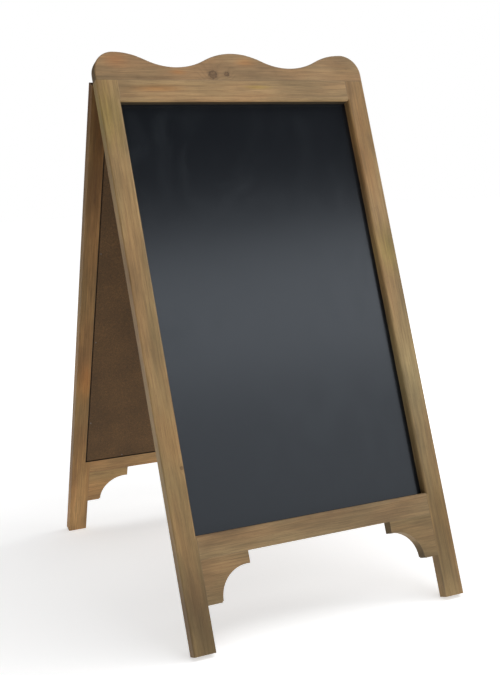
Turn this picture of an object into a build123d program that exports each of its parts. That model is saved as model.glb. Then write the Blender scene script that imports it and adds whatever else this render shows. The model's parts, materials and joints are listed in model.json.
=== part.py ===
from build123d import *
import os
from math import acos, atan2, cos, degrees, hypot, radians, sin, tan

# A folding A-frame pavement board: two timber frames that each hold a chalkboard panel, hinged
# together at the top. The front frame carries a scalloped crest, and its hinges sit behind it.
#
# Millimetres. +X is to the right as seen from the front, +Y to the back and +Z up. The origin is
# on the floor, in the middle of the ground that the open board covers. The legs are cut square,
# so each frame stands on the inner edges of its feet.

# The two frames, both made of the same planed stock
frame_width = 508.0
member_width = 37.0
member_thickness = 19.0
stile_length = 937.5
leg_length = 144.5  # from a foot to the underside of the bottom rail
front_lean = 20.25  # degrees from upright when the board stands open

# The crest on top of the front frame
crest_neck = 23.5  # its height at the two dips
crest_rise = 26.0  # from a dip up to a hump
ear_radius = 37.0

# Edges
edge_radius = 2.5  # round the outline of a frame, on its outer face
arris = 1.0  # taken off the same outline on its inner face
opening_radius = 5.0  # round the front of each opening

# The stepped brackets in the corners between the legs and the bottom rails
bracket_width = 83.0
bracket_height = 72.0
bracket_land = 6.0
bracket_quirk = 2.0
cove_radius = 50.0

# The panels, in a rabbet that is cut into the back of each frame
panel_thickness = 3.2
panel_gap = 2.5  # between a panel's edge and the side of the rabbet
rabbet_width = 9.5
rabbet_depth = 3.4

# The stub tenons on the rails, and the flat biscuits that tie the crest to the frame
tenon_length = 20.0
tenon_width = 25.0
tenon_thickness = 7.0
biscuit_length = 53.0
biscuit_width = 19.0
biscuit_thickness = 4.0
biscuit_spacing = 85.0

# The two butt hinges
hinge_length = 50.0
hinge_inset = 94.0  # from the side of the frame to the middle of a hinge
leaf_thickness = 1.5
leaf_setback = 3.0  # from a leaf's edge to the outer face of the rear frame
leaf_corner = 2.0
barrel_radius = 2.75
barrel_clearance = 0.25  # between the barrel and the wood
knuckle_count = 3
knuckle_gap = 0.2
hinge_pin_radius = 1.25
hinge_pin_clearance = 0.06
hinge_pin_end = 0.6  # how far the pin stands out of the barrel
folded_gap = 2.0  # between the two frames when the board is folded

# The countersunk screws in the hinge leaves
screw_radius = 1.3
screw_head_radius = 2.6
screw_length = 12.0
screw_pitch = 30.0
screw_clearance = 0.15
countersink_angle = 82.0

# What follows from those sizes
half_width = frame_width / 2
opening_half = half_width - member_width
opening_bottom = leg_length + member_width
opening_top = stile_length - member_width
opening_height = opening_top - opening_bottom
opening_middle = (opening_bottom + opening_top) / 2
ledge_cover = rabbet_width - panel_gap
panel_depth = member_thickness - rabbet_depth
crest_top = stile_length + crest_neck + crest_rise
joint_depth = panel_depth / 2

pin_offset = barrel_radius + barrel_clearance
pin_inset = pin_offset - folded_gap
leaf_width = member_thickness - pin_inset - leaf_setback
plate_start = pin_offset + barrel_clearance
knuckle_pitch = hinge_length / knuckle_count
screw_row = (plate_start + leaf_width) / 2

# The rear frame leans as far as it must for its feet to reach the floor
pin_height = stile_length + pin_offset
lean = radians(front_lean)
pin_z = pin_height * cos(lean) - pin_offset * sin(lean)
rear = atan2(pin_inset, pin_height) + acos(pin_z / hypot(pin_height, pin_inset))
front_reach = pin_height * sin(lean) + (pin_offset + member_thickness) * cos(lean)
rear_reach = pin_height * sin(rear) + (member_thickness - pin_inset) * cos(rear)
pin_y = (front_reach - rear_reach) / 2

# Each frame has the plane of its outer face: x across, y up the frame and z outwards
front_face = Plane(
    origin=(0, pin_y - front_reach, member_thickness * sin(lean)),
    x_dir=(1, 0, 0),
    z_dir=(0, -cos(lean), sin(lean)),
)
rear_face = Plane(
    origin=(0, pin_y + rear_reach, member_thickness * sin(rear)),
    x_dir=(-1, 0, 0),
    z_dir=(0, cos(rear), sin(rear)),
)


def save(piece, name):
    """Labels a finished piece and writes it."""
    piece.part.label = name
    export_step(piece.part, f"parts/{name}.step")


# ---------------------------------------------------------------- Timber
def crest_line():
    """The half outline of a crested frame: waves of equal arcs from the middle hump to the ear."""
    quarter = (half_width - ear_radius) / 4
    dip = crest_top - crest_rise
    between = crest_top - crest_rise / 2
    ear_side = (half_width, crest_top - ear_radius)
    start = (0, crest_top)
    heading = (1, 0)
    for step, height in enumerate((between, dip, between, crest_top), start=1):
        bend = TangentArc(start, (step * quarter, height), tangent=heading)
        start = bend @ 1
        heading = bend % 1
    TangentArc(start, ear_side, tangent=heading)
    Polyline(ear_side, (half_width, 0), (0, 0))


def glued_frame(face, crested):
    """A frame after glue-up, when its opening and rabbet are cut and its edges are rounded."""
    with BuildPart() as frame:
        with BuildSketch(face):
            if crested:
                with BuildLine():
                    crest_line()
                    mirror(about=Plane.YZ)
                make_face()
            else:
                Rectangle(frame_width, stile_length, align=(Align.CENTER, Align.MIN))
            Rectangle(2 * opening_half, leg_length, align=(Align.CENTER, Align.MIN), mode=Mode.SUBTRACT)
            with Locations((0, opening_middle)):
                Rectangle(2 * opening_half, opening_height, mode=Mode.SUBTRACT)
        extrude(amount=-member_thickness)
        with BuildSketch(face.offset(-member_thickness)):
            with Locations((0, opening_middle)):
                Rectangle(2 * (opening_half + rabbet_width), opening_height + 2 * rabbet_width)
        extrude(amount=rabbet_depth, mode=Mode.SUBTRACT)

        rim = []
        outline = []
        back_outline = []
        for edge in frame.edges():
            spot = face.to_local_coords(edge.center())
            on_front = abs(spot.Z) < 0.01
            on_back = abs(spot.Z + member_thickness) < 0.01
            on_outline = abs(spot.X) > half_width - 0.01 or spot.Y > stile_length - 0.01
            in_opening = abs(spot.Y - opening_middle) < opening_height / 2 + 0.01
            if on_front and on_outline:
                outline.append(edge)
            elif on_back and on_outline:
                back_outline.append(edge)
            elif on_front and in_opening and abs(spot.X) < opening_half + 0.01:
                rim.append(edge)
        fillet(rim, opening_radius)
        fillet(outline, edge_radius)
        chamfer(back_outline, arris)
    return frame.part


def share(face, frame, middle, size, tongue=None, cuts=()):
    """One length of timber: its share of the glued frame, with its tenons and less its sockets."""
    with BuildPart() as piece:
        add(frame)
        with BuildSketch(face):
            with Locations(middle):
                Rectangle(*size)
        extrude(amount=-member_thickness, mode=Mode.INTERSECT)
        if tongue:
            add(tongue)
        for cut in cuts:
            add(cut, mode=Mode.SUBTRACT)
    return piece


def rail_tongue(face, height):
    """The tongue that runs through a rail, whose two ends are its stub tenons."""
    with BuildPart() as tongue:
        with BuildSketch(face.offset(tenon_thickness / 2 - joint_depth)):
            with Locations((0, height)):
                Rectangle(2 * (opening_half + tenon_length), tenon_width)
        extrude(amount=-tenon_thickness)
    return tongue.part


def crest_biscuits(face):
    """Pressed beech biscuits, half in the top rail and half in the crest."""
    with BuildSketch() as lens:
        with BuildLine():
            ThreePointArc((-biscuit_length / 2, 0), (0, biscuit_width / 2), (biscuit_length / 2, 0))
            mirror(about=Plane.XZ)
        make_face()
    with BuildPart() as biscuits:
        with BuildSketch(face.offset(biscuit_thickness / 2 - joint_depth)):
            with Locations((0, stile_length)):
                with GridLocations(biscuit_spacing, 0, 3, 1):
                    add(lens.sketch)
        extrude(amount=-biscuit_thickness)
    return biscuits


def bracket(face, side):
    """A stepped cove bracket, glued in the corner between a leg and the bottom rail."""
    with BuildPart() as piece:
        with BuildSketch(face):
            with BuildLine():
                leg = side * opening_half
                cove_x = leg - side * (bracket_width - bracket_land)
                cove_y = leg_length - bracket_height + bracket_quirk
                cove_top = (cove_x, cove_y + cove_radius)
                cove_foot = (cove_x + side * cove_radius, cove_y)
                Polyline(
                    cove_foot,
                    (cove_foot[0] + side * bracket_quirk, cove_y),
                    (cove_foot[0] + side * bracket_quirk, leg_length - bracket_height),
                    (leg, leg_length - bracket_height),
                    (leg, leg_length),
                    (leg - side * bracket_width, leg_length),
                    (leg - side * bracket_width, cove_top[1]),
                    cove_top,
                )
                TangentArc(cove_top, cove_foot, tangent=(side, 0))
            make_face()
        extrude(amount=-member_thickness)
    return piece


def chalk_panel(face):
    """A sheet of hardboard with a chalkboard face, let into the rabbet with a gap all round."""
    with BuildPart() as panel:
        with BuildSketch(face.offset(-panel_depth)):
            with Locations((0, opening_middle)):
                Rectangle(2 * (opening_half + ledge_cover), opening_height + 2 * ledge_cover)
        extrude(amount=-panel_thickness)
    return panel


# ---------------------------------------------------------------- Hinges
def hinge_axis(side, along_leaf, away_from_wood):
    """A plane across the middle of a hinge's pin: x along a leaf and y away from the wood."""
    return Plane(
        origin=(side * (half_width - hinge_inset), pin_y, pin_z),
        x_dir=along_leaf,
        z_dir=along_leaf.cross(away_from_wood),
    )


def screw_plane(axis):
    """The plane of a leaf's upper side, centred on its row of screws."""
    return Plane(
        origin=axis.from_local_coords((screw_row, leaf_thickness - pin_offset, 0)),
        x_dir=axis.z_dir,
        z_dir=axis.y_dir,
    )


def hinge_leaf(axis, first_knuckle, bore_radius):
    """A leaf and its share of the rolled knuckles, drilled and countersunk for its screws."""
    with BuildPart() as leaf:
        with BuildSketch(axis.offset(-hinge_length / 2)):
            with Locations((plate_start, -pin_offset)):
                Rectangle(leaf_width - plate_start, leaf_thickness, align=(Align.MIN, Align.MIN))
        extrude(amount=hinge_length)
        upright = leaf.edges().filter_by(Axis(axis.origin, axis.y_dir))
        fillet(upright.sort_by(Axis(axis.origin, axis.x_dir))[-2:], leaf_corner)
        for knuckle in range(first_knuckle, knuckle_count, 2):
            start = knuckle * knuckle_pitch - hinge_length / 2 + knuckle_gap / 2
            with BuildSketch(axis.offset(start)):
                Circle(barrel_radius)
                with Locations((0, -pin_offset)):
                    Rectangle(plate_start, leaf_thickness, align=(Align.MIN, Align.MIN))
                Circle(bore_radius, mode=Mode.SUBTRACT)
            extrude(amount=knuckle_pitch - knuckle_gap)
        with Locations(screw_plane(axis)):
            with GridLocations(screw_pitch, 0, 2, 1):
                CounterSinkHole(
                    screw_radius + screw_clearance,
                    screw_head_radius,
                    depth=leaf_thickness,
                    counter_sink_angle=countersink_angle,
                )
    return leaf


def hinge_screws(axes):
    """The countersunk screws of a frame's leaves, with their heads flush with the leaves."""
    head_height = (screw_head_radius - screw_radius) / tan(radians(countersink_angle / 2))
    hanging = (Align.CENTER, Align.CENTER, Align.MAX)
    with BuildPart() as screws:
        for axis in axes:
            with Locations(screw_plane(axis)):
                with GridLocations(screw_pitch, 0, 2, 1):
                    Cone(screw_radius, screw_head_radius, head_height, align=hanging)
                    Cylinder(screw_radius, screw_length, align=hanging)
    return screws


def hinge_pin(axis):
    """The pin through all the knuckles, fast in the front leaf's and free in the rear leaf's."""
    with BuildPart() as pin:
        with BuildSketch(axis):
            Circle(hinge_pin_radius)
        extrude(amount=hinge_length / 2 + hinge_pin_end, both=True)
    return pin


# ---------------------------------------------------------------- The board
os.makedirs("parts", exist_ok=True)

free_bore = hinge_pin_radius + hinge_pin_clearance
leaf_axes = {"front": [], "rear": []}
for side, hand in ((-1, "left"), (1, "right")):
    front_axis = hinge_axis(side, front_face.y_dir, -front_face.z_dir)
    rear_axis = hinge_axis(side, rear_face.z_dir, rear_face.y_dir)
    save(hinge_pin(front_axis), f"{hand}_hinge_pin")
    save(hinge_leaf(front_axis, 0, hinge_pin_radius), f"{hand}_hinge_front_leaf")
    save(hinge_leaf(rear_axis, 1, free_bore), f"{hand}_hinge_rear_leaf")
    leaf_axes["front"].append(front_axis)
    leaf_axes["rear"].append(rear_axis)

rail_size = (2 * opening_half, member_width)
low = opening_bottom - member_width / 2
high = opening_top + member_width / 2
for name, face in (("front", front_face), ("rear", rear_face)):
    crested = name == "front"
    frame = glued_frame(face, crested)
    low_tongue = rail_tongue(face, low)
    high_tongue = rail_tongue(face, high)
    screws = hinge_screws(leaf_axes[name])
    save(screws, f"{name}_hinge_screws")
    sockets = [screws.part]
    if crested:
        biscuits = crest_biscuits(face)
        save(biscuits, "front_crest_biscuits")
        sockets.append(biscuits.part)
        crest_height = crest_top - stile_length
        crest_middle = (0, stile_length + crest_height / 2)
        crest = share(face, frame, crest_middle, (frame_width, crest_height), cuts=sockets)
        save(crest, "front_crest")
    save(share(face, frame, (0, high), rail_size, high_tongue, sockets), f"{name}_top_rail")
    save(share(face, frame, (0, low), rail_size, low_tongue), f"{name}_bottom_rail")
    save(chalk_panel(face), f"{name}_chalk_panel")
    for side in (-1, 1):
        hand = "left" if side * face.x_dir.X < 0 else "right"
        upright = (side * (half_width + opening_half) / 2, stile_length / 2)
        stile = share(
            face, frame, upright, (member_width, stile_length), cuts=(low_tongue, high_tongue)
        )
        save(stile, f"{name}_{hand}_stile")
        save(bracket(face, side), f"{name}_{hand}_bracket")

print(f"fold range {degrees(lean + rear):.4f} degrees, rear lean {degrees(rear):.4f} degrees")
print(f"fold axis at y {pin_y:.4f} and z {pin_z:.4f} mm")
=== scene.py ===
import json
import random
from math import atan2, cos, pi, radians, sin

import bmesh
import bpy
from mathutils import Matrix, Quaternion, Vector


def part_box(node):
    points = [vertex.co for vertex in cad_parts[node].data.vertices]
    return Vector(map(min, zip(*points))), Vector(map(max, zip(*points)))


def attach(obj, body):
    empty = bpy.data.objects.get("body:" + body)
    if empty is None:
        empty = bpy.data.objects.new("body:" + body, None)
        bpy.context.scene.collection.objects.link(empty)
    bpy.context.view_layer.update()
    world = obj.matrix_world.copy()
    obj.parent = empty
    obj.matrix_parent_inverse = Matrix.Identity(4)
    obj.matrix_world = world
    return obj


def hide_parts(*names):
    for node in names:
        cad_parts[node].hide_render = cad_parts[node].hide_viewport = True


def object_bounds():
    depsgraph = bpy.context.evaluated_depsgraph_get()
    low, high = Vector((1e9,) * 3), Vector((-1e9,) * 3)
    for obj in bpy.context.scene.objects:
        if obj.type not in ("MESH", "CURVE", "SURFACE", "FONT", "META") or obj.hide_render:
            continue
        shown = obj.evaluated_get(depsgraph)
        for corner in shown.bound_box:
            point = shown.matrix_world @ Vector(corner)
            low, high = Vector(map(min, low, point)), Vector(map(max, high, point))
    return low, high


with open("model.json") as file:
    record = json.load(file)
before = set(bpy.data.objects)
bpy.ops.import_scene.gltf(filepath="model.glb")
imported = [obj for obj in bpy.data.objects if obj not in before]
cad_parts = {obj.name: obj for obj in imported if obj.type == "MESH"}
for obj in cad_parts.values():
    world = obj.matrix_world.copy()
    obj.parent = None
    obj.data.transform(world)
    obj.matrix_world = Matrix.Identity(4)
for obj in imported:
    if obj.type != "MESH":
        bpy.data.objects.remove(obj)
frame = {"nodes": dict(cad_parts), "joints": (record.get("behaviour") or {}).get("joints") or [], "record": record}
cad_low, cad_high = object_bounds()
record = frame["record"]
scene = bpy.context.scene


# ------------------------------------------------------------------ Where the board is seen from
# A long lens stands in front of the open board and to its left, a little above the middle of the
# panel. It tips slightly, and its back is shifted so that the uprights keep their taper.
camera_aim = Vector((-0.1038, -0.2145, 0.3832))
camera_azimuth = radians(-25.09)
camera_elevation = radians(12.25)
camera_distance = 1.6982
camera_roll = radians(-1.71)

lens = bpy.data.cameras.new("camera")
lens.lens = 55.64
lens.shift_x = 0.0165
lens.shift_y = 0.0796
camera = bpy.data.objects.new("camera", lens)
scene.collection.objects.link(camera)
camera_back = Vector((
    sin(camera_azimuth) * cos(camera_elevation),
    -cos(camera_azimuth) * cos(camera_elevation),
    sin(camera_elevation),
))
camera.location = camera_aim + camera_back * camera_distance
camera.rotation_mode = "QUATERNION"
camera.rotation_quaternion = (
    camera_back.to_track_quat("Z", "Y") @ Quaternion((0, 0, 1), camera_roll)
)
scene.camera = camera
scene.view_settings.view_transform = "Standard"


# ------------------------------------------------------------------ The front stiles
# The two uprights of the front frame, planed from pine an inch by two. They run from the floor to
# the crest, and the frame was stained a light antique brown and rubbed back before a thin varnish.
front_out = Vector(record["mounts"][0]["axis"])
front_up = Vector((0, front_out.z, -front_out.y))
on_front = Vector(record["mounts"][0]["pos_m"])
foot_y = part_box("front_left_stile")[0].y
front_foot = on_front + front_up * ((foot_y - on_front.y) / front_up.y)
front_lean = atan2(front_out.z, -front_out.y)
member_thickness = front_foot.z / sin(front_lean)

# In a frame's own space X is across it, Y goes in from its outer face and Z is up it.
front_space = Matrix.Rotation(front_lean, 4, "X") @ Matrix.Translation(-front_foot)
grain_up = Matrix.Identity(4)
grain_across = Matrix.Rotation(-pi / 2, 4, "Y")


def span(node, space, axis):
    """The lowest and highest reach of a CAD node along an axis of a frame's own space."""
    reach = [(space @ v.co)[axis] for v in frame["nodes"][node].data.vertices]
    return min(reach), max(reach)


stile_inside = span("front_right_stile", front_space, 0)[0]
stile_top = span("front_right_stile", front_space, 2)[1]
panel_face, panel_back = span("front_chalk_panel", front_space, 1)
panel_gap = 0.0025
rabbet_side = span("front_chalk_panel", front_space, 0)[1] + panel_gap
rabbet_low = span("front_chalk_panel", front_space, 2)[0] - panel_gap
rabbet_high = span("front_chalk_panel", front_space, 2)[1] + panel_gap
opening_low = span("front_bottom_rail", front_space, 2)[1]
leg_top = span("front_bottom_rail", front_space, 2)[0]


def add_node(tree, kind, inputs=None, **settings):
    """A node with its settings, and with its inputs given values or joined to other outputs."""
    made = tree.nodes.new(kind)
    for name, value in settings.items():
        setattr(made, name, value)
    for name, value in (inputs or {}).items():
        if isinstance(value, bpy.types.NodeSocket):
            tree.links.new(value, made.inputs[name])
        else:
            made.inputs[name].default_value = value
    return made


def number(tree, operation, a, b=0.0, c=0.0):
    """The result of a sum on single numbers."""
    made = add_node(tree, "ShaderNodeMath", {0: a, 1: b, 2: c}, operation=operation)
    return made.outputs[0]


def vector(tree, operation, a, b=(0, 0, 0), scale=1.0):
    """The result of a sum on vectors: a single number for a dot product or a length."""
    made = add_node(tree, "ShaderNodeVectorMath", {0: a, 1: b, 3: scale}, operation=operation)
    return made.outputs["Value" if operation in ("DOT_PRODUCT", "LENGTH") else "Vector"]


def ramp(tree, value, low, high, to_low=0.0, to_high=1.0):
    """A number carried smoothly from one range to another and held at its ends."""
    inputs = {"Value": value, 1: low, 2: high, 3: to_low, 4: to_high}
    made = add_node(tree, "ShaderNodeMapRange", inputs, interpolation_type="SMOOTHSTEP")
    return made.outputs["Result"]


def noise(tree, where, stretch, scale, detail=2.0, output="Fac"):
    """Smooth noise, drawn out along an axis by a stretch under one."""
    drawn = vector(tree, "MULTIPLY", where, stretch)
    inputs = {"Vector": drawn, "Scale": scale, "Detail": detail}
    return add_node(tree, "ShaderNodeTexNoise", inputs).outputs[output]


def mixed(tree, factor, a, b, blend="MIX"):
    """Two colours mixed or multiplied together."""
    made = add_node(tree, "ShaderNodeMix", data_type="RGBA", blend_type=blend)
    for place, value in ((0, factor), (6, a), (7, b)):
        if isinstance(value, bpy.types.NodeSocket):
            tree.links.new(value, made.inputs[place])
        else:
            made.inputs[place].default_value = value
    return made.outputs[2]


def edge_rub(tree, radius):
    """How close a point is to a sharp edge, from 0 on a flat to 1 on the edge itself."""
    rounded = add_node(tree, "ShaderNodeBevel", {"Radius": radius}, samples=4).outputs[0]
    flat = add_node(tree, "ShaderNodeNewGeometry").outputs["Normal"]
    return ramp(tree, vector(tree, "DOT_PRODUCT", rounded, flat), 0.99, 0.8)


ring_width = 0.0048
early_wood = (0.304, 0.206, 0.106, 1)
late_wood = (0.18, 0.107, 0.043, 1)
rubbed_wood = (0.40, 0.29, 0.175, 1)
knot_wood = (0.18, 0.105, 0.045)
knot_bark = (0.05, 0.028, 0.012, 1)
glue_line = (0.06, 0.04, 0.02, 1)
# The dark of the painted shade in the reveal, which is partly dark stain, and of the painted shadow at the
# rabbet's shoulders.
shade_and_stain_colour = (0.014, 0.012, 0.007, 1)


def pine_figure():
    """Pine as it grows: yearly rings round the heart, fibres along it, and a blotchy stain."""
    tree = bpy.data.node_groups.new("pine_figure", "ShaderNodeTree")
    for name, kind in (("Place", "Vector"), ("Bulge", "Float"), ("Knot", "Float"), ("End", "Float")):
        tree.interface.new_socket(name, in_out="INPUT", socket_type=f"NodeSocket{kind}")
    for name, kind in (("Color", "Color"), ("Roughness", "Float"), ("Height", "Float")):
        tree.interface.new_socket(name, in_out="OUTPUT", socket_type=f"NodeSocket{kind}")
    given = tree.nodes.new("NodeGroupInput").outputs
    place = given["Place"]

    # The heart wanders as the tree grows, which is what draws arches on a flat-sawn face.
    centred = (-0.5, -0.5, -0.5)
    drift = vector(tree, "ADD", noise(tree, place, (1, 1, 0.1), 14, 2, "Color"), centred)
    wobble = vector(tree, "ADD", noise(tree, place, (1, 1, 0.25), 60, 1, "Color"), centred)
    bent = vector(tree, "ADD", place, vector(tree, "SCALE", drift, scale=0.022))
    bent = vector(tree, "ADD", bent, vector(tree, "SCALE", wobble, scale=0.003))
    radius = vector(tree, "LENGTH", vector(tree, "MULTIPLY", bent, (1, 1, 0)))
    radius = number(tree, "ADD", radius, given["Bulge"])
    uneven = add_node(
        tree, "ShaderNodeTexNoise", {"W": radius, "Scale": 90, "Detail": 0}, noise_dimensions="1D"
    ).outputs["Fac"]
    year = number(tree, "MULTIPLY_ADD", radius, 1 / ring_width, uneven)
    season = number(tree, "FRACT", year)
    late = number(
        tree, "MULTIPLY", ramp(tree, season, 0.35, 0.88), ramp(tree, season, 1.0, 0.93)
    )
    vigour = add_node(
        tree, "ShaderNodeTexWhiteNoise", {"W": number(tree, "FLOOR", year)}, noise_dimensions="1D"
    ).outputs["Value"]
    late = number(tree, "MULTIPLY", late, number(tree, "MULTIPLY_ADD", vigour, 0.55, 0.45))

    fibre = noise(tree, place, (1, 1, 0.02), 1300, 2)
    vein = noise(tree, place, (1, 1, 0.035), 240, 3)
    blotch = noise(tree, place, (1, 1, 0.32), 26, 3)
    warmth = noise(tree, vector(tree, "ADD", place, (0.7, 0.3, 2.1)), (1, 1, 0.22), 19, 3)

    wood = mixed(tree, number(tree, "MULTIPLY", late, 0.38), early_wood, late_wood)
    glow = mixed(tree, ramp(tree, warmth, 0.36, 0.66), (0.98, 1.0, 0.9, 1), (1.06, 0.95, 0.82, 1))
    wood = mixed(tree, 1.0, wood, glow, "MULTIPLY")
    shade = ramp(tree, vein, 0.3, 0.72, 0.89, 1.07)
    shade = number(tree, "MULTIPLY", shade, ramp(tree, fibre, 0.3, 0.7, 0.8, 1.14))
    shade = number(tree, "MULTIPLY", shade, ramp(tree, blotch, 0.32, 0.68, 0.78, 1.16))
    fleck = ramp(tree, noise(tree, place, (1, 1, 0.04), 2400, 1), 0.6, 0.72)
    shade = number(tree, "MULTIPLY", shade, number(tree, "MULTIPLY_ADD", fleck, -0.28, 1.02))
    wood = vector(tree, "SCALE", wood, scale=shade)

    # Knots are dark and hard, and the cut ends of the fibres drink more stain.
    knot_rings = number(tree, "MULTIPLY_ADD", late, -0.4, 1.0)
    knot_face = vector(tree, "SCALE", knot_wood, scale=knot_rings)
    wood = mixed(tree, given["Knot"], wood, knot_face)
    wood = mixed(tree, given["End"], wood, vector(tree, "SCALE", wood, scale=0.55))
    rubbed = number(tree, "MULTIPLY", edge_rub(tree, 0.003), ramp(tree, vein, 0.35, 0.6))
    wood = mixed(tree, number(tree, "MULTIPLY", rubbed, 0.4), wood, rubbed_wood)

    sheen = number(tree, "MULTIPLY_ADD", late, -0.08, 0.56)
    sheen = number(tree, "MULTIPLY_ADD", fibre, 0.12, sheen)
    sheen = number(tree, "MULTIPLY_ADD", given["End"], 0.15, sheen)
    sheen = number(tree, "MULTIPLY_ADD", given["Knot"], -0.12, sheen)
    height = number(tree, "MULTIPLY", late, 0.00006)
    height = number(tree, "MULTIPLY_ADD", fibre, 0.00009, height)
    height = number(tree, "MULTIPLY_ADD", vein, 0.00012, height)

    results = {"Color": wood, "Roughness": sheen, "Height": height}
    add_node(tree, "NodeGroupOutput", results)
    return tree


def pine(name, space, grain, heart, tone, knots=(), streaks=(), seams=()):
    """Stained pine for one member.

    heart: how far the tree's heart lies from the frame's own origin, once the grain runs along Z
    tone: what this member multiplies the common colour by, for its timber and, on the lower rear members, for
    painted light
    knots: across, up and radius of each knot on the face
    streaks: across, up, half width, half height and colour of each patch, some of uneven stain and some of painted
    shade and painted light
    seams: an axis of the frame and the place on it of each glue line
    """
    material = bpy.data.materials.new(name)
    material.use_nodes = True
    tree = material.node_tree
    shader = tree.nodes["Principled BSDF"]
    coordinates = add_node(tree, "ShaderNodeTexCoord")
    in_frame = add_node(tree, "ShaderNodeMapping", {
        "Vector": coordinates.outputs["Object"],
        "Location": space.translation,
        "Rotation": space.to_euler(),
    }).outputs[0]
    turned = add_node(tree, "ShaderNodeMapping", {
        "Vector": in_frame,
        "Rotation": grain.to_euler(),
    }).outputs[0]
    along = (grain @ space).inverted().to_3x3() @ Vector((0, 0, 1))
    facing = vector(tree, "DOT_PRODUCT", coordinates.outputs["Normal"], along)
    end = ramp(tree, number(tree, "ABSOLUTE", facing), 0.75, 0.95)

    # The rings swell round a knot, which is a branch that runs in from the face.
    bulge = 0.0
    knot = 0.0
    bark = 0.0
    for across, up, size in knots:
        away = vector(tree, "SUBTRACT", in_frame, (across, 0, up))
        away = vector(tree, "LENGTH", vector(tree, "MULTIPLY", away, (1, 0, 1)))
        swell = ramp(tree, away, 0, size * 3.5, size * 1.6, 0)
        bulge = number(tree, "ADD", bulge, swell)
        torn = noise(tree, in_frame, (1, 1, 1), 260, 2)
        ragged = number(tree, "MULTIPLY_ADD", torn, size * 0.9, away)
        knot = number(tree, "MAXIMUM", knot, ramp(tree, ragged, size * 1.9, size * 0.9))
        round_it = number(tree, "ABSOLUTE", number(tree, "SUBTRACT", ragged, size * 1.15))
        bark = number(tree, "MAXIMUM", bark, ramp(tree, round_it, size * 0.22, 0))
    figure = add_node(tree, "ShaderNodeGroup", node_tree=pine_tree)
    for socket, value in {
        "Place": vector(tree, "SUBTRACT", turned, heart),
        "Bulge": bulge,
        "Knot": knot,
        "End": end,
    }.items():
        if isinstance(value, bpy.types.NodeSocket):
            tree.links.new(value, figure.inputs[socket])
    colour = vector(tree, "MULTIPLY", figure.outputs["Color"], tone)
    if knots:
        colour = mixed(tree, number(tree, "MULTIPLY", bark, 0.55), colour, knot_bark)

    # Patches of uneven stain, and on some members patches of painted shade and painted light.
    for across, up, half_width, half_height, tint in streaks:
        away = vector(tree, "SUBTRACT", in_frame, (across, 0, up))
        away = vector(tree, "MULTIPLY", away, (1 / half_width, 0, 1 / half_height))
        away = vector(tree, "LENGTH", away)
        drawn_out = noise(tree, turned, (1, 1, 0.08), 90, 3)
        ragged = number(tree, "MULTIPLY_ADD", drawn_out, 0.9, away)
        patched = mixed(tree, 1.0, colour, (*tint, 1), "MULTIPLY")
        colour = mixed(tree, ramp(tree, ragged, 1.6, 0.45), colour, patched)

    # A hair line of dark glue and stain at each joint.
    for axis, place in seams:
        distance = number(tree, "SUBTRACT", vector(tree, "DOT_PRODUCT", in_frame, axis), place)
        line = ramp(tree, number(tree, "ABSOLUTE", distance), 0.0006, 0.0002)
        colour = mixed(tree, number(tree, "MULTIPLY", line, 0.5), colour, glue_line)

    # Painted shade, with some dark stain, darkens the reveal under the top rail and over the bottom one.
    reach = add_node(tree, "ShaderNodeSeparateXYZ", {0: in_frame}).outputs
    from_middle = number(tree, "ABSOLUTE", reach[0])
    inside = ramp(tree, from_middle, stile_inside - 0.0002, stile_inside - 0.0008)
    between = number(
        tree, "MULTIPLY",
        ramp(tree, reach[2], opening_low - 0.0006, opening_low - 0.0002),
        ramp(tree, reach[2], opening_high + 0.0006, opening_high + 0.0002),
    )
    behind = ramp(tree, reach[1], 0.004, 0.007)
    shade_and_stain = number(tree, "MULTIPLY", number(tree, "MULTIPLY", inside, between), behind)

    # Painted shadow darkens the shoulders of the rabbet behind, in the gap round the panel.
    inside = ramp(tree, from_middle, rabbet_side + 0.0005, rabbet_side + 0.0002)
    between = number(
        tree, "MULTIPLY",
        ramp(tree, reach[2], rabbet_low - 0.0005, rabbet_low - 0.0002),
        ramp(tree, reach[2], rabbet_high + 0.0005, rabbet_high + 0.0002),
    )
    behind = ramp(tree, reach[1], panel_face - 0.0004, panel_face - 0.0001)
    rabbet = number(tree, "MULTIPLY", number(tree, "MULTIPLY", inside, between), behind)
    shade_and_stain = number(tree, "MAXIMUM", shade_and_stain, rabbet)
    # The painted shade and shadow, with the reveal's dark stain, are mixed into the wood here.
    colour = mixed(tree, number(tree, "MULTIPLY", shade_and_stain, 0.9), colour, shade_and_stain_colour)

    tree.links.new(colour, shader.inputs["Base Color"])
    tree.links.new(figure.outputs["Roughness"], shader.inputs["Roughness"])
    shader.inputs["Specular IOR Level"].default_value = 0.4
    bump = add_node(tree, "ShaderNodeBump", {"Height": figure.outputs["Height"], "Distance": 1.0})
    tree.links.new(bump.outputs[0], shader.inputs["Normal"])
    return material


def finish_with(material, slot, *nodes):
    """Gives CAD nodes their finish."""
    for name in nodes:
        piece = frame["nodes"][name]
        piece.data.materials.clear()
        piece.data.materials.append(material)


opening_high = span("front_top_rail", front_space, 2)[0]
pine_tree = pine_figure()
across_axis = (1, 0, 0)
up_axis = (0, 0, 1)
orange = (1.16, 0.94, 0.72)
olive = (0.9, 1.0, 0.72)
dark = (0.68, 0.66, 0.66)

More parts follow.
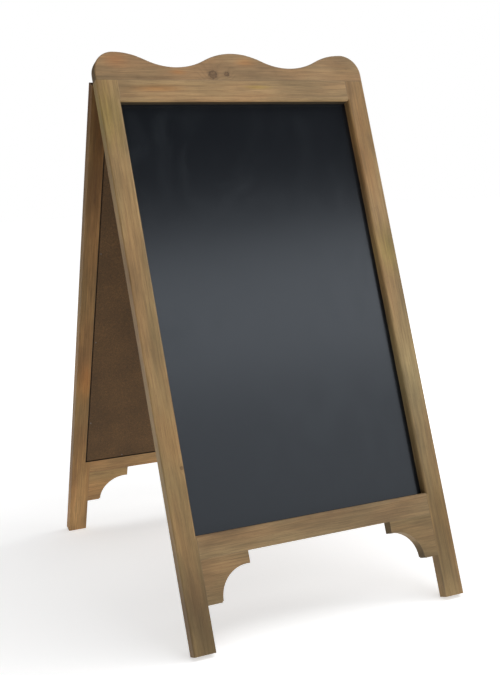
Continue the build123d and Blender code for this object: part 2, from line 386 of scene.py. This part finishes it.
finish_with(
    pine(
        "left_stile_pine", front_space, grain_up, (-0.262, 0.05, 0.3), (1.0, 0.98, 0.9),
        knots=[(-0.2213, 0.2905, 0.0034)],
        streaks=[
            (-0.235, 0.07, 0.06, 0.12, dark),
            (-0.235, 0.24, 0.06, 0.1, (1.3, 1.3, 1.28)),
            (-0.233, 0.34, 0.03, 0.07, (1.04, 0.96, 0.9)),
            (-0.245, 0.88, 0.03, 0.08, olive),
        ],
        seams=[(up_axis, stile_top)],
    ),
    "stained_pine", "front_left_stile",
)
finish_with(
    pine(
        "right_stile_pine", front_space, grain_up, (0.205, 0.045, 1.9), (1.02, 1.02, 0.98),
        streaks=[
            (0.24, 0.87, 0.06, 0.16, (0.74, 0.67, 0.55)),
            (0.228, 0.79, 0.03, 0.09, (1.06, 0.93, 0.84)),
            (0.238, 0.62, 0.03, 0.06, olive),
            (0.238, 0.38, 0.05, 0.08, (1.22, 1.3, 1.36)),
            (0.24, 0.14, 0.06, 0.12, (0.74, 0.66, 0.54)),
        ],
        seams=[(up_axis, stile_top)],
    ),
    "stained_pine", "front_right_stile",
)


# ------------------------------------------------------------------ The front rails
# Two rails of the same stock go between the stiles, with a stub tenon at each end. Their grain
# runs across the board.
finish_with(
    pine(
        "front_top_rail_pine", front_space, grain_across, (-0.955, 0.06, 0.4), (1.14, 1.08, 1.06),
        streaks=[
            (-0.151, 0.923, 0.062, 0.008, orange),
            (0.038, 0.9252, 0.036, 0.0045, (1.0, 1.0, 0.62)),
        ],
        seams=[(across_axis, stile_inside), (across_axis, -stile_inside), (up_axis, stile_top)],
    ),
    "stained_pine", "front_top_rail",
)
finish_with(
    pine(
        "front_bottom_rail_pine", front_space, grain_across, (-0.14, 0.055, 2.7), (0.98, 0.98, 1.0),
        seams=[(across_axis, stile_inside), (across_axis, -stile_inside)],
    ),
    "stained_pine", "front_bottom_rail",
)


# ------------------------------------------------------------------ The crest
# A scalloped board on top of the frame, sawn to three humps and glued down over hidden biscuits.
# The timber has a pair of small knots in its middle hump.
finish_with(
    pine(
        "crest_pine", front_space, grain_across, (-0.925, 0.04, 1.2), (0.97, 0.94, 0.96),
        knots=[(-0.043, 0.9475, 0.0092), (-0.0165, 0.9488, 0.005)],
        streaks=[
            (0.0227, 0.9713, 0.03, 0.009, orange),
            (-0.215, 0.972, 0.03, 0.018, (1.1, 0.9, 0.76)),
            (0.225, 0.955, 0.06, 0.04, (0.88, 0.82, 0.74)),
            (0.12, 0.955, 0.05, 0.02, (0.92, 0.88, 0.84)),
            (-0.107, 0.9515, 0.02, 0.006, orange),
        ],
        seams=[(up_axis, stile_top)],
    ),
    "stained_pine", "front_crest",
)


def beech():
    """Pressed beech with its short flecks."""
    material = bpy.data.materials.new("pressed_beech")
    material.use_nodes = True
    tree = material.node_tree
    shader = tree.nodes["Principled BSDF"]
    place = add_node(tree, "ShaderNodeTexCoord").outputs["Object"]
    fleck = noise(tree, place, (0.3, 1, 1), 1500, 2)
    colour = mixed(tree, ramp(tree, fleck, 0.45, 0.7), (0.60, 0.42, 0.24, 1), (0.40, 0.25, 0.13, 1))
    tree.links.new(colour, shader.inputs["Base Color"])
    tree.links.new(ramp(tree, fleck, 0.3, 0.7, 0.6, 0.75), shader.inputs["Roughness"])
    height = number(tree, "MULTIPLY", fleck, 0.00008)
    bump = add_node(tree, "ShaderNodeBump", {"Height": height, "Distance": 1.0})
    tree.links.new(bump.outputs[0], shader.inputs["Normal"])
    return material


finish_with(beech(), "biscuit_beech", "front_crest_biscuits")


# ------------------------------------------------------------------ The front brackets
# Two stepped cove brackets fill the corners under the bottom rail. They are cut from the same
# board, with its grain across, and glued to the leg and the rail.
for side, hand, tone in ((-1, "left", (0.98, 0.98, 0.98)), (1, "right", (0.78, 0.78, 0.74))):
    finish_with(
        pine(
            f"front_{hand}_bracket_pine", front_space, grain_across,
            (-0.1, 0.03, 0.9 + 1.3 * side), tone,
            seams=[(across_axis, side * stile_inside), (up_axis, leg_top)],
        ),
        "stained_pine", f"front_{hand}_bracket",
    )


# ------------------------------------------------------------------ The front chalk panel
# A sheet of hardboard, sprayed with satin chalkboard paint on its face and bare behind, where the
# press screen has left its print. It lies in the rabbet with a gap round it.
clean_paint = (0.0042, 0.0053, 0.0075, 1)
dusty_paint = (0.0078, 0.0098, 0.0124, 1)
dark_felt = (0.094, 0.05, 0.016, 1)
pale_felt = (0.158, 0.084, 0.03, 1)
screen_pitch = 0.0017
screen_print = 0.00003


def chalk_sheet(name, space, seed):
    """Chalkboard paint on the face of a sheet of hardboard."""
    material = bpy.data.materials.new(name)
    material.use_nodes = True
    tree = material.node_tree
    shader = tree.nodes["Principled BSDF"]
    place = add_node(tree, "ShaderNodeMapping", {
        "Vector": add_node(tree, "ShaderNodeTexCoord").outputs["Object"],
        "Location": space.translation,
        "Rotation": space.to_euler(),
    }).outputs[0]
    reach = add_node(tree, "ShaderNodeSeparateXYZ", {0: place}).outputs
    coated = ramp(tree, reach[1], panel_face + 0.0003, panel_face + 0.0001)

    # Chalk dust wiped about with a cloth, over the fine tooth of the paint.
    shifted = vector(tree, "ADD", place, (seed, seed, seed))
    swirl = vector(tree, "SCALE", noise(tree, shifted, (1, 1, 1), 4, 2, "Color"), scale=0.25)
    wiped = noise(tree, vector(tree, "ADD", shifted, swirl), (1.0, 1.0, 0.35), 26, 4)
    cloud = noise(tree, shifted, (1, 1, 1), 5, 2)
    dust = ramp(tree, cloud, 0.35, 0.7, 0.3, 1.0)
    dust = number(tree, "MULTIPLY", ramp(tree, wiped, 0.4, 0.75), dust)
    tooth = noise(tree, shifted, (1, 1, 1), 2200, 2)
    paint = mixed(tree, dust, clean_paint, dusty_paint)
    paint = vector(tree, "SCALE", paint, scale=ramp(tree, tooth, 0.3, 0.7, 0.85, 1.2))

    # Pressed wood fibre, lighter strands in a brown felt.
    curled = vector(tree, "SCALE", noise(tree, shifted, (1, 1, 1), 90, 2, "Color"), scale=0.02)
    strands = noise(tree, vector(tree, "ADD", shifted, curled), (1, 1, 1), 420, 4)
    felt = noise(tree, shifted, (1, 1, 1), 14, 3)
    fibre = mixed(tree, ramp(tree, strands, 0.35, 0.7), dark_felt, pale_felt)
    fibre = vector(tree, "SCALE", fibre, scale=ramp(tree, felt, 0.3, 0.7, 0.85, 1.12))
    tree.links.new(mixed(tree, coated, fibre, paint), shader.inputs["Base Color"])

    satin = number(tree, "MULTIPLY_ADD", dust, 0.05, 0.21)
    matt = ramp(tree, strands, 0.3, 0.7, 0.78, 0.9)
    shine = number(tree, "MULTIPLY_ADD", number(tree, "SUBTRACT", satin, matt), coated, matt)
    tree.links.new(shine, shader.inputs["Roughness"])

    shader.inputs["Specular Tint"].default_value = (0.82, 0.90, 1.0, 1)

    screen_turns = 2 * pi / screen_pitch
    print_across = number(tree, "SINE", number(tree, "MULTIPLY", reach[0], screen_turns))
    print_up = number(tree, "SINE", number(tree, "MULTIPLY", reach[2], screen_turns))
    printed = number(tree, "MULTIPLY", number(tree, "MULTIPLY", print_across, print_up), screen_print)
    rough = number(tree, "MULTIPLY_ADD", strands, 0.00012, printed)
    even = number(tree, "MULTIPLY", tooth, 0.000012)
    height = number(tree, "MULTIPLY_ADD", number(tree, "SUBTRACT", even, rough), coated, rough)
    bump = add_node(tree, "ShaderNodeBump", {"Height": height, "Distance": 1.0})
    tree.links.new(bump.outputs[0], shader.inputs["Normal"])
    return material


finish_with(chalk_sheet("front_chalk_finish", front_space, 3.1), "chalkboard", "front_chalk_panel")


# ------------------------------------------------------------------ The front panel pins
# Fourteen steel panel pins hold the sheet in its rabbet, tapped in from the back through its edge:
# four up each side and three along the top and the bottom.
pin_head_radius = 0.0014
pin_head_height = 0.0005
pin_shank_radius = 0.0006
pin_length = 0.012
pin_point = 0.0015
pin_sides = 20


def lathe(mesh, profile, place, sides):
    """Turns a profile of radii and heights round the Z axis of a place, and adds it to a mesh."""
    rings = []
    for radius, height in profile:
        if radius == 0:
            rings.append([mesh.verts.new(place @ Vector((0, 0, height)))])
            continue
        turn = [2 * pi * step / sides for step in range(sides)]
        rings.append([
            mesh.verts.new(place @ Vector((radius * cos(a), radius * sin(a), height))) for a in turn
        ])
    for upper, lower in zip(rings, rings[1:]):
        for step in range(sides):
            corners = [
                upper[step % len(upper)], lower[step % len(lower)],
                lower[(step + 1) % len(lower)], upper[(step + 1) % len(upper)],
            ]
            mesh.faces.new(list(dict.fromkeys(corners)))


def made_piece(name, mesh, material, body, smooth=radians(35)):
    """A finished mesh as a piece that rides on a body."""
    bmesh.ops.recalc_face_normals(mesh, faces=mesh.faces)
    data = bpy.data.meshes.new(name)
    mesh.to_mesh(data)
    mesh.free()
    data.materials.append(material)
    piece = bpy.data.objects.new(name, data)
    scene.collection.objects.link(piece)
    data.shade_smooth()
    data.set_sharp_from_angle(angle=smooth)
    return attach(piece, body)


def metal(name, fresh, worn, tarnish, roughness, drawn):
    """A plated or bare metal: dulled in patches, drawn along one axis and rubbed on its edges."""
    material = bpy.data.materials.new(name)
    material.use_nodes = True
    tree = material.node_tree
    shader = tree.nodes["Principled BSDF"]
    place = add_node(tree, "ShaderNodeTexCoord").outputs["Object"]
    dulled = ramp(tree, noise(tree, place, (1, 1, 1), 170, 4), 0.42, 0.68)
    spots = ramp(tree, noise(tree, place, (1, 1, 1), 1400, 3), 0.6, 0.72)
    lines = noise(tree, place, drawn, 5200, 2)
    colour = mixed(tree, number(tree, "MULTIPLY", dulled, 0.55), fresh, tarnish)
    colour = mixed(tree, number(tree, "MULTIPLY", spots, 0.5), colour, tarnish)
    colour = mixed(tree, number(tree, "MULTIPLY", edge_rub(tree, 0.0005), 0.6), colour, worn)
    tree.links.new(colour, shader.inputs["Base Color"])
    shader.inputs["Metallic"].default_value = 1.0
    shine = number(tree, "MULTIPLY_ADD", dulled, 0.14, roughness)
    shine = number(tree, "MULTIPLY_ADD", lines, 0.1, shine)
    tree.links.new(shine, shader.inputs["Roughness"])
    height = number(tree, "MULTIPLY_ADD", spots, -0.00001, number(tree, "MULTIPLY", lines, 0.000006))
    bump = add_node(tree, "ShaderNodeBump", {"Height": height, "Distance": 1.0})
    tree.links.new(bump.outputs[0], shader.inputs["Normal"])
    return material


dull_steel = metal(
    "dull_steel",
    (0.2, 0.185, 0.17, 1), (0.36, 0.34, 0.31, 1), (0.1, 0.075, 0.055, 1), 0.42, (1, 1, 1),
)


def panel_pins(name, panel, space, body):
    """The pins of one panel, whose heads stand on its back."""
    left, right = span(panel, space, 0)
    low, high = span(panel, space, 2)
    inset = (right - stile_inside) / 2
    pitch_up = (high - low) / 4
    pitch_across = (right - left) / 3
    steps_up = [low + pitch_up * (n + 0.5) for n in range(4)]
    steps_across = [left + pitch_across * (n + 0.5) for n in range(3)]
    spots = [(x, z) for x in (left + inset, right - inset) for z in steps_up]
    spots += [(x, z) for z in (low + inset, high - inset) for x in steps_across]
    profile = [
        (0, pin_head_height),
        (pin_head_radius * 0.6, pin_head_height * 0.92),
        (pin_head_radius * 0.92, pin_head_height * 0.55),
        (pin_head_radius, pin_head_height * 0.2),
        (pin_head_radius * 0.96, 0),
        (pin_shank_radius, 0),
        (pin_shank_radius, pin_point - pin_length),
        (0, -pin_length),
    ]
    mesh = bmesh.new()
    out_of_back = Matrix.Rotation(-pi / 2, 4, "X")
    for across, up in spots:
        stand = Matrix.Translation((across, panel_back, up)) @ out_of_back
        lathe(mesh, profile, space.inverted() @ stand, pin_sides)
    return made_piece(name, mesh, dull_steel, body)


panel_pins("front_panel_pins", "front_chalk_panel", front_space, "front_frame")


# ------------------------------------------------------------------ The rear stiles and rails
# The rear frame is made like the front one, without a crest. Its outer face looks backwards, and
# from the front only the inner side of it shows, in the shade of the front frame.
fold = frame["joints"][0]
rear_lean = radians(fold["range_deg"][1]) - front_lean
rear_foot = Vector((0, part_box("rear_left_stile")[1].y, member_thickness * sin(rear_lean)))
rear_space = (
    Matrix.Rotation(pi, 4, "Z") @ Matrix.Rotation(-rear_lean, 4, "X") @ Matrix.Translation(-rear_foot)
)
rear_seams = [(across_axis, stile_inside), (across_axis, -stile_inside)]

finish_with(
    pine(
        "rear_left_stile_pine", rear_space, grain_up, (0.27, 0.05, 3.3), (1.02, 0.88, 0.64),
        streaks=[
            # The first patch is painted light from the floor at the foot, the second is painted shade under the
            # front frame at the top, and the third is uneven stain.
            (0.24, 0.02, 0.06, 0.16, (1.75, 1.7, 1.9)),
            (0.24, 0.92, 0.06, 0.27, (0.34, 0.24, 0.08)),
            (0.235, 0.36, 0.03, 0.06, orange),
        ],
    ),
    "stained_pine", "rear_left_stile",
)
finish_with(
    pine("rear_right_stile_pine", rear_space, grain_up, (-0.2, 0.07, 4.6), (0.97, 0.95, 0.9)),
    "stained_pine", "rear_right_stile",
)
# The bottom rail's lighter tone is painted light, where the floor lights the foot of the rear frame.
for rail, heart, tone in (
    ("rear_top_rail", (-0.89, 0.05, 5.2), (1.0, 0.98, 0.94)),
    ("rear_bottom_rail", (-0.2, 0.06, 6.4), (1.4, 1.2, 1.02)),
):
    finish_with(
        pine(f"{rail}_pine", rear_space, grain_across, heart, tone, seams=rear_seams),
        "stained_pine", rail,
    )


# ------------------------------------------------------------------ The rear brackets
# The same two brackets as in front, under the bottom rail of the rear frame.
# Their lighter tone is painted light, where the floor lights the foot of the rear frame.
for side, hand in ((-1, "right"), (1, "left")):
    finish_with(
        pine(
            f"rear_{hand}_bracket_pine", rear_space, grain_across, (-0.09, 0.03, 7.0 + side),
            (1.34, 1.22, 1.04), seams=[(across_axis, side * stile_inside), (up_axis, leg_top)],
        ),
        "stained_pine", f"rear_{hand}_bracket",
    )


# ------------------------------------------------------------------ The rear chalk panel
# The second sheet faces backwards, and its bare brown back is what shows between the frames. It is
# pinned like the first.
finish_with(chalk_sheet("rear_chalk_finish", rear_space, 7.9), "chalkboard", "rear_chalk_panel")
panel_pins("rear_panel_pins", "rear_chalk_panel", rear_space, "rear_frame")


# ------------------------------------------------------------------ The hinges
# Two brass-plated steel butts. One leaf of each lies on the back of the front frame and the other
# on top of the rear frame, and a drawn steel pin runs through their knuckles.
brass_plate = metal(
    "brass_plate",
    (0.66, 0.46, 0.17, 1), (0.62, 0.57, 0.46, 1), (0.30, 0.19, 0.07, 1), 0.27, (1, 1, 0.04),
)
finish_with(
    brass_plate, "hinge_leaves",
    "left_hinge_front_leaf", "right_hinge_front_leaf", "left_hinge_rear_leaf", "right_hinge_rear_leaf",
)
bright_steel = metal(
    "bright_steel",
    (0.52, 0.51, 0.49, 1), (0.66, 0.65, 0.63, 1), (0.22, 0.19, 0.16, 1), 0.26, (0.05, 1, 1),
)
finish_with(bright_steel, "hinge_pins", "left_hinge_pin", "right_hinge_pin")


# ------------------------------------------------------------------ The hinge screws
# Countersunk wood screws with a cross recess, plated like the leaves and driven flush. Each stands
# where the plain screw of the frame stands, with its thread cut into the wood.
screw_sides = 28
screw_thread_rise = 0.0011
screw_thread_depth = 0.0003
screw_rows_per_turn = 10
screw_tip = 0.0025
recess_depth = 0.0012
recess_half_length = 0.0014
recess_half_width = 0.00028


def screw_stands(node, out):
    """Where the screws of a CAD group stand: the middle of the top of each head, and their sizes."""
    sideways = out.cross(Vector((1, 0, 0)))
    points = sorted((v.co.copy() for v in frame["nodes"][node].data.vertices), key=lambda p: p.x)
    groups = [[points[0]]]
    for point in points[1:]:
        if point.x - groups[-1][-1].x > 0.004:
            groups.append([])
        groups[-1].append(point)
    stands = []
    for group in groups:
        beside = [p.dot(sideways) for p in group]
        height = [p.dot(out) for p in group]
        middle = Vector(((group[0].x + group[-1].x) / 2, 0, 0))
        middle += sideways * (min(beside) + max(beside)) / 2 + out * max(height)
        stands.append((middle, (group[-1].x - group[0].x) / 2, max(height) - min(height)))
    return stands


def threaded_screw(head_radius, length):
    """One screw with its head at the origin and its point down, as a mesh."""
    head_drop = head_radius * 0.58
    shank_radius = head_radius / 2
    mesh = bmesh.new()
    rows = [(0, 0), (head_radius * 0.7, 0), (head_radius * 0.97, 0), (head_radius, -0.00012)]
    rows += [(shank_radius, -head_drop), (shank_radius, -length * 0.3)]
    rings = [[(radius, height)] * screw_sides for radius, height in rows]
    thread_top = -length * 0.3
    thread_step = screw_thread_rise / screw_rows_per_turn
    row_count = int((length - 0.0002 + thread_top) / thread_step)
    for row in range(1, row_count + 1):
        height = thread_top - row * thread_step
        taper = min(1.0, (height + length) / screw_tip)
        ring = []
        for step in range(screw_sides):
            turns = row / screw_rows_per_turn - step / screw_sides
            ridge = max(0.0, 1 - abs(turns % 1 - 0.5) * 5)
            radius = (shank_radius - screw_thread_depth * (1 - ridge)) * taper
            ring.append((max(radius, 0.00005), height))
        rings.append(ring)
    rings.append([(0, -length)] * screw_sides)
    built = []
    for ring in rings:
        if ring[0][0] == 0:
            built.append([mesh.verts.new((0, 0, ring[0][1]))])
            continue
        built.append([
            mesh.verts.new((r * cos(2 * pi * s / screw_sides), r * sin(2 * pi * s / screw_sides), h))
            for s, (r, h) in enumerate(ring)
        ])
    for upper, lower in zip(built, built[1:]):
        for s in range(screw_sides):
            corners = [
                upper[s % len(upper)], lower[s % len(lower)],
                lower[(s + 1) % len(lower)], upper[(s + 1) % len(upper)],
            ]
            mesh.faces.new(list(dict.fromkeys(corners)))
    bmesh.ops.recalc_face_normals(mesh, faces=mesh.faces)
    blank = bpy.data.meshes.new("screw_blank")
    mesh.to_mesh(blank)
    mesh.free()

    cross = bmesh.new()
    for turn in (0, pi / 2):
        bar = bmesh.ops.create_cube(cross, size=2)["verts"]
        for v in bar:
            narrow = 0.45 if v.co.z < 0 else 1.0
            v.co = Vector((
                v.co.x * recess_half_length * narrow,
                v.co.y * recess_half_width * (0.6 if v.co.z < 0 else 1.0),
                -recess_depth if v.co.z < 0 else recess_depth,
            ))
            v.co.rotate(Matrix.Rotation(turn, 3, "Z"))
    cutter = bpy.data.meshes.new("screw_recess")
    cross.to_mesh(cutter)
    cross.free()
    blank_object = bpy.data.objects.new("screw_blank", blank)
    cutter_object = bpy.data.objects.new("screw_recess", cutter)
    scene.collection.objects.link(blank_object)
    scene.collection.objects.link(cutter_object)
    cut = blank_object.modifiers.new("recess", "BOOLEAN")
    cut.object = cutter_object
    cut.operation = "DIFFERENCE"
    cut.solver = "EXACT"
    cut.use_self = True
    bpy.context.view_layer.update()
    seen = blank_object.evaluated_get(bpy.context.evaluated_depsgraph_get())
    made = bpy.data.meshes.new_from_object(seen)
    bpy.data.objects.remove(blank_object)
    bpy.data.objects.remove(cutter_object)
    return made


plated_steel = metal(
    "plated_screw",
    (0.76, 0.6, 0.31, 1), (0.7, 0.64, 0.52, 1), (0.38, 0.27, 0.12, 1), 0.25, (1, 1, 1),
)
rear_up = rear_space.inverted().to_3x3() @ Vector((0, 0, 1))
turning = random.Random(5)
for name, body, out in (("front", "front_frame", -front_out), ("rear", "rear_frame", rear_up)):
    node = f"{name}_hinge_screws"
    mesh = bmesh.new()
    for middle, head_radius, length in screw_stands(node, out):
        screw = threaded_screw(head_radius, length)
        upright = out.to_track_quat("Z", "Y").to_matrix().to_4x4()
        stand = Matrix.Translation(middle) @ upright @ Matrix.Rotation(turning.uniform(0, pi), 4, "Z")
        screw.transform(stand)
        mesh.from_mesh(screw)
        bpy.data.meshes.remove(screw)
    screws = made_piece(f"{name}_wood_screws", mesh, plated_steel, body)
    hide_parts(node)


# ------------------------------------------------------------------ The floor and the light
# The board stands open on a plain pale floor that glows as painted light, faintly near the board and brighter away
# from it. Soft boxes light it from above and from the right, and a pair in front lends the panel its grey sheen
# with a brighter band.
floor_reach = 14
floor_white = (0.86, 0.86, 0.86, 1)
shaded_floor = 0.4
bright_floor = 1.5
near_glow = 0.55
floor_mesh = bmesh.new()
bmesh.ops.create_grid(floor_mesh, x_segments=1, y_segments=1, size=floor_reach)
floor_data = bpy.data.meshes.new("floor")
floor_mesh.to_mesh(floor_data)
floor_mesh.free()
floor = bpy.data.objects.new("floor", floor_data)
scene.collection.objects.link(floor)
floor_paint = bpy.data.materials.new("floor_paint")
floor_paint.use_nodes = True
floor_tree = floor_paint.node_tree
floor_shader = floor_tree.nodes["Principled BSDF"]
floor_shader.inputs["Base Color"].default_value = floor_white
floor_shader.inputs["Roughness"].default_value = 0.8
floor_shader.inputs["Emission Color"].default_value = (1, 1, 1, 1)
floor_place = add_node(floor_tree, "ShaderNodeTexCoord").outputs["Object"]
from_board = vector(floor_tree, "LENGTH", floor_place)
# The floor's glow is painted light: fainter near the board and full further off.
floor_glow = ramp(floor_tree, from_board, shaded_floor, bright_floor, near_glow, 1.0)
floor_tree.links.new(floor_glow, floor_shader.inputs["Emission Strength"])
floor_shader.inputs["Specular IOR Level"].default_value = 0.0
floor_data.materials.append(floor_paint)


def soft_box(name, azimuth, elevation, distance, width, height, power, roll=0):
    """A soft rectangular light, turned to the middle of the board."""
    light = bpy.data.lights.new(name, "AREA")
    light.shape = "RECTANGLE"
    light.size = width
    light.size_y = height
    light.energy = power
    box = bpy.data.objects.new(name, light)
    scene.collection.objects.link(box)
    a, e = radians(azimuth), radians(elevation)
    away = Vector((sin(a) * cos(e), -cos(a) * cos(e), sin(e)))
    box.location = (cad_low + cad_high) / 2 + away * distance
    box.rotation_mode = "QUATERNION"
    box.rotation_quaternion = away.to_track_quat("Z", "Y") @ Quaternion((0, 0, 1), radians(roll))
    return box


soft_box("overhead_soft_box", 20, 80, 3.2, 3.0, 2.4, 44)
soft_box("right_soft_box", 82, 38, 3.4, 1.6, 1.6, 40)
soft_box("front_soft_box", 31, 18.6, 3.0, 2.8, 1.6, 18, -15)
soft_box("front_band_box", 31, 27.6, 3.0, 2.8, 0.62, 6.5, -15)

surround_glow = 0.06
studio = bpy.data.worlds.new("studio")
studio.use_nodes = True
sky = studio.node_tree
surround = sky.nodes["Background"]
surround.inputs["Color"].default_value = (1, 1, 1, 1)
seen_directly = add_node(sky, "ShaderNodeLightPath").outputs["Is Camera Ray"]
backdrop = number(sky, "MULTIPLY_ADD", seen_directly, 1 - surround_glow, surround_glow)
sky.links.new(backdrop, surround.inputs["Strength"])
scene.world = studio
